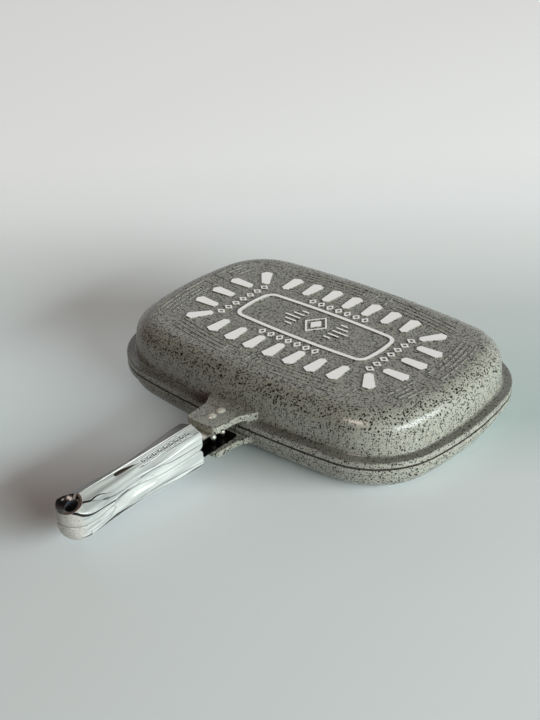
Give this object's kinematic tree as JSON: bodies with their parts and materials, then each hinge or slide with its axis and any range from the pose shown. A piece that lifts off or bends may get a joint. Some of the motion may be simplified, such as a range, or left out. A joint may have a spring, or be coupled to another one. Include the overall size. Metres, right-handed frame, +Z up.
{
  "type": "double sided flip pan",
  "caption": "Hinged double grill pan: two deep coated halves that close rim to rim, with split handle halves, magnetic catch and hanging hole.",
  "frame": {"origin": "middle of the lower base, on the plane it rests on, under the middle of the pan", "axes": "+Z up through both halves, -Y along the handle, +Y towards the hinge, X along the pan's long side"},
  "size_m": [0.36, 0.4533, 0.0748],
  "materials": {
    "granite_coat": "cast aluminium with a speckled grey non-stick coat",
    "marbled_grip": "glossy white plastic with grey and black marbling",
    "gasket_rubber": "dark silicone",
    "tang_steel": "bright edges, black gloss on the lower one's inner face",
    "rivet_metal": "satin",
    "plated_steel": "zinc plated",
    "spring_steel": "dark spring steel",
    "magnet": "nickel plated magnet disc"
  },
  "bodies": {
    "lower_half": {"lower_pan": "granite_coat", "rim_gasket": "gasket_rubber", "lower_grip": "marbled_grip", "lower_keeper": "plated_steel", "lower_tang": "tang_steel", "lower_rivet_front": "rivet_metal", "lower_rivet_rear": "rivet_metal", "lower_grip_screw_near": "plated_steel", "lower_grip_screw_far": "plated_steel", "hinge_pin_left": "plated_steel", "hinge_pin_right": "plated_steel", "hinge_clip_left": "spring_steel", "hinge_clip_right": "spring_steel"},
    "upper_half": {"upper_pan": "granite_coat", "upper_grip": "marbled_grip", "upper_magnet": "magnet", "upper_tang": "tang_steel", "upper_rivet_front": "rivet_metal", "upper_rivet_rear": "rivet_metal", "upper_grip_screw_near": "plated_steel", "upper_grip_screw_far": "plated_steel"}
  },
  "joints": [
    {"name": "lid_hinge", "type": "hinge", "parent": "lower_half", "child": "upper_half", "pos_m": [0, 0.131, 0.031], "axis": [-1, 0, 0], "range_deg": [0, 160]}
  ]
}
